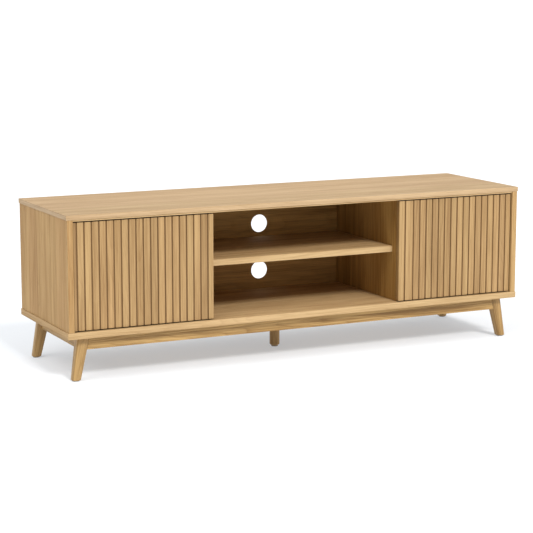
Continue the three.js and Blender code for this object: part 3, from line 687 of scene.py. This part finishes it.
def add_screw(bm, centre, axis, radius=3.2 * MM, height=1.3 * MM):
    """A pan head with a cross recess."""
    arm, half = radius * RECESS_ARM, radius * RECESS_HALF_WIDTH
    before = set(bm.verts)
    flat_top = radius * FLAT_TOP_RADIUS
    rim = bmesh.ops.create_circle(bm, segments=SCREW_STEPS, radius=flat_top)["verts"]
    cross_points = [
        (arm, -half), (arm, half), (half, half), (half, arm), (-half, arm), (-half, half),
        (-arm, half), (-arm, -half), (-half, -half), (-half, -arm), (half, -arm), (half, -half)]
    cross = [bm.verts.new((x, y, 0)) for x, y in cross_points]
    cross_edges = [bm.edges.new((a, b)) for a, b in zip(cross, cross[1:] + cross[:1])]
    rim_edges = list(dict.fromkeys(edge for vert in rim for edge in vert.link_edges))
    bmesh.ops.triangle_fill(bm, edges=rim_edges + cross_edges, use_beauty=True)
    sunk = bmesh.ops.extrude_edge_only(bm, edges=cross_edges)["geom"]
    bmesh.ops.translate(bm, verts=verts_of(sunk), vec=(0, 0, -height * RECESS_DEPTH))
    bmesh.ops.contextual_create(bm, geom=edges_of(sunk))
    for vert in (v for v in bm.verts if v not in before):
        vert.co.z += height
    shoulder = bmesh.ops.extrude_edge_only(bm, edges=rim_edges)["geom"]
    outer = verts_of(shoulder)
    bmesh.ops.scale(bm, verts=outer, vec=(1 / FLAT_TOP_RADIUS, 1 / FLAT_TOP_RADIUS, 1))
    bmesh.ops.translate(bm, verts=outer, vec=(0, 0, -height * SHOULDER_DROP))
    skirt = bmesh.ops.extrude_edge_only(bm, edges=edges_of(shoulder))["geom"]
    bmesh.ops.translate(bm, verts=verts_of(skirt), vec=(0, 0, -height * (1 - SHOULDER_DROP)))
    bmesh.ops.contextual_create(bm, geom=edges_of(skirt))
    made = [v for v in bm.verts if v not in before]
    bmesh.ops.recalc_face_normals(bm, faces=faces_around(made))
    move_to(made, centre, axis)


# ---------------------------------------------------------------- boards

# node, slot and grain of each board that only needs its edges eased
BOARDS = [
    ("top_panel", "top_veneer", "X"),
    ("bottom_panel", "carcass_veneer", "X"),
    ("top_front_rail", "carcass_veneer", "X"),
    ("centre_shelf", "carcass_veneer", "X"),
    ("left_side_panel", "side_veneer", "Z"),
    ("right_side_panel", "side_veneer", "Z"),
    ("left_divider", "interior_veneer", "Z"),
    ("right_divider", "interior_veneer", "Z"),
    ("left_back_panel", "interior_veneer", "X"),
    ("right_back_panel", "interior_veneer", "X"),
    ("left_inner_shelf", "interior_veneer", "X"),
    ("right_inner_shelf", "interior_veneer", "X"),
    ("left_door_board", "door_veneer", "Z"),
    ("right_door_board", "door_veneer", "Z"),
]
RAILS = [
    ("front_apron", "X"), ("back_apron", "X"), ("left_apron", "Y"), ("right_apron", "Y"),
    ("centre_cross_rail", "Y"),
]


def darkness_of_door_board(face):
    """The upright edges of a door are browner, edge band and painted shade of the gaps beside it;
    its ends are painted near-black, painted shade of the gaps above and below it.
    """
    if abs(face.normal.z) > FACING:
        return BLACK_GAP_SHADE
    return BROWNER_AND_GAP_SHADE if abs(face.normal.x) > FACING else 0


def darkness_of_top_panel(face):
    """The band on the ends of the top panel is a little darker than the panel."""
    return BROWNER_AND_GAP_SHADE if abs(face.normal.x) > FACING else 0


def darkness_of_shelf(face):
    """The upper faces of the shelf and the bottom panel are painted a little darker than their
    fronts, painted shade in the bay; their ends carry the browner edge band.
    """
    if face.normal.z > FACING:
        return BAY_SHADE
    return BROWNER_AND_GAP_SHADE if abs(face.normal.x) > FACING else 0


def darkness_of_back_panel(face):
    """The outer face of a back panel is bare veneer, greyer than the lacquered inner face."""
    return BARE if face.normal.y > FACING else 0


def darkness_of_divider(face):
    """The dividers' leaves are a shade browner than those of the back panels."""
    return BROWNER_AND_GAP_SHADE


DARKNESS = {
    "top_panel": darkness_of_top_panel,
    "bottom_panel": darkness_of_shelf,
    "centre_shelf": darkness_of_shelf,
    "left_back_panel": darkness_of_back_panel,
    "right_back_panel": darkness_of_back_panel,
    "left_divider": darkness_of_divider,
    "right_divider": darkness_of_divider,
    "left_door_board": darkness_of_door_board,
    "right_door_board": darkness_of_door_board,
}


def make_boards():
    """Veneered boards with sanded edges."""
    for node, slot, grain in BOARDS:
        bm = cad_copy(node)
        ease_edges(bm, BOARD_EASE)
        lay_grain(bm, grain, darkness_of=DARKNESS.get(node))
        make_piece(f"{node}_veneered", bm, slot, frame["nodes"][node]["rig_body"], [node])


def make_rails():
    """Solid oak rails with rounded edges."""
    for node, grain in RAILS:
        bm = cad_copy(node)
        ease_edges(bm, SOLID_EASE, steps=3, shortest=SHORTEST_RAIL_EDGE)
        lay_grain(bm, grain)
        make_piece(f"{node}_solid", bm, "apron_oak", "cabinet", [node])


# ---------------------------------------------------------------- fluted doors


def grooves_of(node):
    """The two sides of each groove in a fluted face, read from the corners at its bottom."""
    low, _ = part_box(node)
    bottom = low.y + GROOVE_DEPTH
    sides = sorted({
        round(v.co.x, 5) for v in frame["nodes"][node].data.vertices
        if abs(v.co.y - bottom) < GROOVE_MATCH
    })
    return list(zip(sides[::2], sides[1::2]))


def slat_corner(x, front, towards):
    """The rounded corner of a slat at x, from its face (towards = 1) or to it (-1)."""
    radius = SLAT_EDGE_RADIUS
    arc = []
    for i in range(SLAT_ARC_STEPS + 1):
        angle = math.pi / 2 * i / SLAT_ARC_STEPS
        arc.append((x - towards * radius * (1 - math.sin(angle)),
                    front + radius * (1 - math.cos(angle))))
    return arc if towards > 0 else arc[::-1]


def make_fluted_faces():
    """Each door's fluted face: slats with rounded edges and ends, and sharp-cornered grooves."""
    for side in ("left", "right"):
        node = f"{side}_door_fluted_face"
        low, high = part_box(node)
        grooves = grooves_of(node)
        outline = [(low.x, high.y)] + slat_corner(low.x, low.y, -1)
        for start, end in grooves:
            outline += slat_corner(start, low.y, 1)
            outline += [(start, low.y + GROOVE_DEPTH), (end, low.y + GROOVE_DEPTH)]
            outline += slat_corner(end, low.y, -1)
        outline += slat_corner(high.x, low.y, 1) + [(high.x, high.y)]

        bm = bmesh.new()
        bottom = bm.faces.new([bm.verts.new((x, y, low.z)) for x, y in outline])
        raised = bmesh.ops.extrude_face_region(bm, geom=[bottom])["geom"]
        bmesh.ops.translate(bm, verts=verts_of(raised), vec=(0, 0, high.z - low.z))
        bmesh.ops.recalc_face_normals(bm, faces=bm.faces)
        rims = [e for e in bm.edges if abs(e.verts[0].co.z - e.verts[1].co.z) < CAD_WELD]
        bevel_edges(bm, rims, SLAT_END_EASE, steps=2)
        middles = [(start + end) / 2 for start, end in grooves]
        slats = [(chances.random(), chances.uniform(0, SLAT_SHIFT))
                 for _ in range(len(grooves) + 1)]

        def slat_of(face, middles=middles, slats=slats):
            x = face.calc_center_median().x
            return slats[sum(1 for middle in middles if middle < x)]

        # Painted shade: slat ends near-black for the gaps above and below the door, the sheet's
        # outer sides browner for the gaps beside it, and the grooves darker.
        def darkness_of_slat(face, low=low, high=high):
            middle = face.calc_center_median()
            if abs(face.normal.z) > SLAT_END_TILT:
                return BLACK_GAP_SHADE
            if min(middle.x - low.x, high.x - middle.x) < SLAT_SURFACE:
                return BROWNER_AND_GAP_SHADE
            depth = middle.y - low.y
            return GROOVE_SHADE if SLAT_EDGE_RADIUS < depth < GROOVE_DEPTH + SLAT_SURFACE else 0

        lay_grain(bm, "Z", slat_of, darkness_of_slat)
        make_piece(f"{side}_door_slats", bm, "fluted_oak", f"{side}_door", [node])


# ---------------------------------------------------------------- back panel with cable holes


def make_centre_back():
    """The bay's back panel, with two round cable holes where the frame has its openings."""
    node = "centre_back_panel"
    low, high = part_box(node)
    openings = {o["name"]: o["box_m"] for o in frame["record"]["physics"]["openings"]}
    bm = bmesh.new()
    corners = [(low.x, low.z), (high.x, low.z), (high.x, high.z), (low.x, high.z)]
    loops = [corners]
    for name in ("upper_cable_hole", "lower_cable_hole"):
        hole_low, hole_high = openings[name]
        x, z = (hole_low[0] + hole_high[0]) / 2, (hole_low[2] + hole_high[2]) / 2
        turns = [math.tau * i / HOLE_STEPS for i in range(HOLE_STEPS)]
        loops.append([(x + CABLE_HOLE_RADIUS * math.cos(a), z + CABLE_HOLE_RADIUS * math.sin(a))
                      for a in turns])
    edges = []
    for loop in loops:
        verts = [bm.verts.new((x, low.y, z)) for x, z in loop]
        edges += [bm.edges.new(pair) for pair in zip(verts, verts[1:] + verts[:1])]
    bmesh.ops.triangle_fill(bm, edges=edges, use_beauty=True)
    pushed = bmesh.ops.extrude_face_region(bm, geom=list(bm.faces))["geom"]
    bmesh.ops.translate(bm, verts=verts_of(pushed), vec=(0, high.y - low.y, 0))
    bmesh.ops.recalc_face_normals(bm, faces=bm.faces)
    bmesh.ops.dissolve_limit(bm, angle_limit=FLAT_ANGLE, verts=bm.verts, edges=bm.edges)
    rims = [e for e in bm.edges if len(e.link_faces) == 2 and e.calc_face_angle(0) > RIM_ANGLE]
    bevel_edges(bm, rims, HOLE_EASE, steps=2)
    lay_grain(bm, "X", darkness_of=darkness_of_back_panel)
    make_piece("centre_back_panel_veneered", bm, "interior_veneer", "cabinet", [node])


def make_back_screws():
    """Small pan heads hold the back panels along their edges."""
    bm = bmesh.new()
    inset = BACK_SCREW_INSET
    for node in ("left_back_panel", "centre_back_panel", "right_back_panel"):
        low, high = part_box(node)
        count = max(2, round((high.x - low.x - 2 * inset) / BACK_SCREW_PITCH))
        for i in range(count + 1):
            x = low.x + inset + (high.x - low.x - 2 * inset) * i / count
            for z in (low.z + inset, high.z - inset):
                add_screw(bm, (x, high.y, z), (0, 1, 0), BACK_SCREW_RADIUS, BACK_SCREW_HEIGHT)
    make_piece("back_panel_screws", bm, "zinc_steel", "cabinet")


# ---------------------------------------------------------------- legs

# name, and which way the corner lies along X and Y
CORNERS = [
    ("front_left", -1, -1), ("front_right", 1, -1), ("back_left", -1, 1), ("back_right", 1, 1),
]


def make_legs():
    """Splayed legs that taper, with a rounded square section and a softened foot."""
    for corner, sign_x, sign_y in CORNERS:
        node = f"{corner}_leg"
        low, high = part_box(node)
        # The foot is at the outer end of the box, the top at the inner end. One face is upright.
        outer_x, inner_x = (low.x, high.x) if sign_x < 0 else (high.x, low.x)
        outer_y = low.y if sign_y < 0 else high.y
        foot = (outer_x - sign_x * LEG_FOOT / 2, outer_y - sign_y * LEG_FOOT / 2)
        top = (inner_x + sign_x * LEG_TOP / 2, outer_y - sign_y * LEG_TOP / 2)
        bm = bmesh.new()
        bmesh.ops.create_cube(bm, size=1)
        uprights = [e for e in bm.edges if abs(e.verts[0].co.z - e.verts[1].co.z) > 0.5]
        bevel_edges(bm, uprights, LEG_CORNER_SHARE, LEG_CORNER_STEPS)
        for vert in bm.verts:
            size, middle, z = (LEG_TOP, top, high.z) if vert.co.z > 0 else (LEG_FOOT, foot, low.z)
            vert.co = (vert.co.x * size + middle[0], vert.co.y * size + middle[1], z)
        foot_rim = [e for e in bm.edges if all(abs(v.co.z - low.z) < CAD_WELD for v in e.verts)]
        bevel_edges(bm, foot_rim, LEG_FOOT_EASE, steps=3)
        wrap_grain(bm, (*foot, low.z), (*top, high.z))
        make_piece(f"{node}_turned", bm, "leg_oak", "cabinet", [node])


def make_centre_leg():
    """A straight round leg with a chamfered foot."""
    low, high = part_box("centre_leg")
    radius = (high.x - low.x) / 2
    centre = ((low.x + high.x) / 2, (low.y + high.y) / 2, 0)
    cut = CENTRE_LEG_CHAMFER
    soft = CENTRE_LEG_SOFTENING
    near_corner, far_corner = soft * 0.4, soft * 0.6
    profile = [
        (0, low.z), (radius - cut - soft, low.z),
        (radius - cut + far_corner, low.z + near_corner),
        (radius - near_corner, low.z + cut - far_corner), (radius, low.z + cut + soft),
        (radius, high.z), (0, high.z)]
    bm = bmesh.new()
    add_turned(bm, profile, centre, (0, 0, 1))
    wrap_grain(bm, (centre[0], centre[1], low.z), (centre[0], centre[1], high.z))
    make_piece("centre_leg_turned", bm, "leg_oak", "cabinet", ["centre_leg"])


def make_glides():
    """Felt discs under the five legs."""
    for corner in ("front_left", "front_right", "back_left", "back_right", "centre"):
        node = f"{corner}_glide"
        low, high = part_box(node)
        centre = ((low.x + high.x) / 2, (low.y + high.y) / 2, 0)
        bm = bmesh.new()
        profile = rounded_profile((high.x - low.x) / 2, low.z, high.z, GLIDE_ROUNDING)
        add_turned(bm, profile, centre, (0, 0, 1))
        make_piece(f"{node}_felt", bm, "felt", "cabinet", [node])


# ---------------------------------------------------------------- fittings


def make_brackets():
    """Corner brackets with two screws in each flange and a bolt into the leg."""
    for corner, sign_x, sign_y in CORNERS:
        node = f"{corner}_bracket"
        low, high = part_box(node)
        bm = cad_copy(node)
        ease_edges(bm, SHEET_METAL_EASE, steps=1)
        outer_x = low.x if sign_x < 0 else high.x
        outer_y = low.y if sign_y < 0 else high.y
        inner_x = high.x if sign_x < 0 else low.x
        inner_y = high.y if sign_y < 0 else low.y
        middle_z = (low.z + high.z) / 2
        sheet, inset = BRACKET_SHEET, BRACKET_SCREW_INSET
        for z in (middle_z - BRACKET_SCREW_RISE, middle_z + BRACKET_SCREW_RISE):
            add_screw(bm, (inner_x + sign_x * inset, outer_y - sign_y * sheet, z), (0, -sign_y, 0))
            add_screw(bm, (outer_x - sign_x * sheet, inner_y + sign_y * inset, z), (-sign_x, 0, 0))
        # The bolt stands on the middle of the diagonal.
        seat = BRACKET_REACH / 2 + sheet * DIAGONAL_SHARE
        bolt_foot = (outer_x - sign_x * seat, outer_y - sign_y * seat, middle_z)
        inward = Vector((-sign_x, -sign_y, 0)).normalized()
        profile = rounded_profile(BOLT_RADIUS, 0, BOLT_HEIGHT, BOLT_ROUNDING)
        add_turned(bm, profile, bolt_foot, inward, BOLT_SIDES)
        make_piece(f"{node}_zinc", bm, "zinc_steel", "cabinet", [node])


def make_hinges():
    """Hinge cups with two screws in the door, and arms with four in the plate and the arm."""
    for side, sign in (("left", -1), ("right", 1)):
        for level in ("upper", "lower"):
            cup, arm = f"{side}_{level}_hinge_cup", f"{side}_{level}_hinge_arm"
            low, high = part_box(cup)
            middle = (low + high) / 2
            bm = cad_copy(cup)
            ease_edges(bm, SHEET_METAL_EASE, steps=1)
            for z in (low.z + CUP_SCREW_INSET, high.z - CUP_SCREW_INSET):
                add_screw(bm, (middle.x, high.y, z), (0, 1, 0))
            make_piece(f"{cup}_plated", bm, "plated_steel", f"{side}_door", [cup])

            low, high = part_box(arm)
            bm = cad_copy(arm)
            ease_edges(bm, SHEET_METAL_EASE, steps=2)
            seat_x = high.x - ARM_SEAT if sign > 0 else low.x + ARM_SEAT
            middle_z = (low.z + high.z) / 2
            for z in (middle_z - PLATE_SCREW_RISE, middle_z + PLATE_SCREW_RISE):
                add_screw(bm, (seat_x, high.y - PLATE_SCREW_PLACE, z), (-sign, 0, 0),
                          PLATE_SCREW_RADIUS)
            for place in (FRONT_SCREW_PLACE, REAR_SCREW_PLACE):
                add_screw(bm, (seat_x, high.y - place, middle_z), (-sign, 0, 0), ARM_SCREW_RADIUS)
            make_piece(f"{arm}_plated", bm, "plated_steel", "cabinet", [arm])


def make_latches():
    """Push latches: a moulded body, a turned plunger and the strike plate on the door."""
    for side in ("left", "right"):
        body = f"{side}_latch_body"
        bm = cad_copy(body)
        ease_edges(bm, PLASTIC_EASE, steps=3)
        make_piece(f"{body}_moulded", bm, "grey_plastic", "cabinet", [body])

        plunger = f"{side}_latch_plunger"
        low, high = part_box(plunger)
        middle = (low + high) / 2
        bm = bmesh.new()
        profile = rounded_profile((high.x - low.x) / 2, low.y, high.y, PLUNGER_ROUNDING)
        add_turned(bm, profile, (middle.x, 0, middle.z), (0, 1, 0))
        make_piece(f"{plunger}_moulded", bm, "white_plastic", f"{side}_plunger", [plunger])

        strike = f"{side}_strike_plate"
        low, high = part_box(strike)
        middle = (low + high) / 2
        bm = bmesh.new()
        profile = rounded_profile((high.x - low.x) / 2, low.y, high.y, STRIKE_ROUNDING)
        add_turned(bm, profile, (middle.x, 0, middle.z), (0, 1, 0))
        make_piece(f"{strike}_zinc", bm, "zinc_steel", f"{side}_door", [strike])


def make_shelf_pins():
    """Rods that carry the inner shelves."""
    for node in (n for n in frame["nodes"] if "_shelf_pin_" in n):
        low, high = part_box(node)
        middle = (low + high) / 2
        bm = bmesh.new()
        profile = rounded_profile((high.z - low.z) / 2, low.x, high.x, PIN_ROUNDING)
        add_turned(bm, profile, (0, middle.y, middle.z), (1, 0, 0), PIN_STEPS)
        make_piece(f"{node}_plated", bm, "plated_steel", "cabinet", [node])


# ---------------------------------------------------------------- stage, light and camera

FLOOR_HALF_SIZE = 90      # metres
FLOOR_GLOW = 0.395
HORIZON_LIGHT = 0.18
OVERHEAD_LIGHT = 1.03
FAR_FLOOR_RISE = 0.045    # about 2.5 degrees above the horizon
FAR_FLOOR_FADE = 1.3      # it has faded out at this many times the rise

CAMERA_SENSOR = 36        # millimetres, as is the lens
CAMERA_LENS = 117.95
CAMERA_PLACE = (-2.5116, -5.0870, 1.2317)
CAMERA_TURN = (80.349, 0, -26.008)    # degrees about X, Y and Z

# name, direction it comes from in degrees right of the front, height in degrees, width in
# degrees and strength in watts per square metre
STUDIO_LIGHTS = [
    ("key_light", 4, 41, 14, 2.25),
    ("left_fill_light", -70, 50, 40, 0.95),
]


def make_stage():
    """A matt white light table: its faint glow keeps the shadow under the cabinet pale."""
    mesh = bpy.data.meshes.new("studio_floor")
    bm = bmesh.new()
    bmesh.ops.create_grid(bm, x_segments=1, y_segments=1, size=FLOOR_HALF_SIZE)
    bm.to_mesh(mesh)
    bm.free()
    floor = bpy.data.objects.new("studio_floor", mesh)
    bpy.context.scene.collection.objects.link(floor)
    material, tree, output = new_material("matt_white_light_table")
    surface = add_node(tree, "ShaderNodeBsdfPrincipled", {
        "Base Color": linear("#cccccc"), "Roughness": 0.9, "Specular IOR Level": 0.1,
        "Emission Color": linear("#eaf4ff"), "Emission Strength": FLOOR_GLOW})
    tree.links.new(surface.outputs[0], output.inputs[0])
    mesh.materials.append(material)


def make_world():
    """A white studio: brightest overhead, dimmer towards the horizon, with the lit floor curving
    up a little way beyond it."""
    world = bpy.data.worlds.new("white_studio")
    bpy.context.scene.world = world
    world.use_nodes = True
    tree = world.node_tree
    tree.nodes.clear()
    output = add_node(tree, "ShaderNodeOutputWorld")
    direction = add_node(tree, "ShaderNodeTexCoord")
    height = add_node(tree, "ShaderNodeSeparateXYZ", {0: direction.outputs["Generated"]})
    strength = add_node(tree, "ShaderNodeMapRange", {
        "Value": height.outputs["Z"], "To Min": HORIZON_LIGHT, "To Max": OVERHEAD_LIGHT})
    far_floor = add_node(tree, "ShaderNodeMapRange", {
        "Value": height.outputs["Z"], "From Min": FAR_FLOOR_RISE,
        "From Max": FAR_FLOOR_RISE * FAR_FLOOR_FADE, "To Min": 1.0, "To Max": 0.0})
    strength = add_node(tree, "ShaderNodeMath", {
        0: strength.outputs[0], 1: far_floor.outputs[0]}, operation="ADD")
    light = add_node(tree, "ShaderNodeBackground", {
        "Color": WHITE, "Strength": strength.outputs[0]})
    tree.links.new(light.outputs[0], output.inputs[0])


def make_lights():
    """The key light from the front, and a broad fill from the left."""
    for name, side, height, width, strength in STUDIO_LIGHTS:
        light = bpy.data.lights.new(name, "SUN")
        light.angle = math.radians(width)
        light.energy = strength
        lamp = bpy.data.objects.new(name, light)
        lamp.rotation_euler = (math.radians(90 - height), 0, math.radians(side))
        bpy.context.scene.collection.objects.link(lamp)


def make_camera():
    """A long lens, up and to the left of the front."""
    camera = bpy.data.cameras.new("camera")
    camera.sensor_width = CAMERA_SENSOR
    camera.lens = CAMERA_LENS
    stand = bpy.data.objects.new("camera", camera)
    stand.location = CAMERA_PLACE
    stand.rotation_euler = [math.radians(degrees) for degrees in CAMERA_TURN]
    bpy.context.scene.collection.objects.link(stand)
    bpy.context.scene.camera = stand


make_camera()
make_stage()
make_world()
make_lights()
make_boards()
make_rails()
make_fluted_faces()
make_centre_back()
make_back_screws()
make_legs()
make_centre_leg()
make_glides()
make_brackets()
make_hinges()
make_latches()
make_shelf_pins()

bpy.context.scene.view_settings.view_transform = "Standard"

bpy.context.view_layer.update()
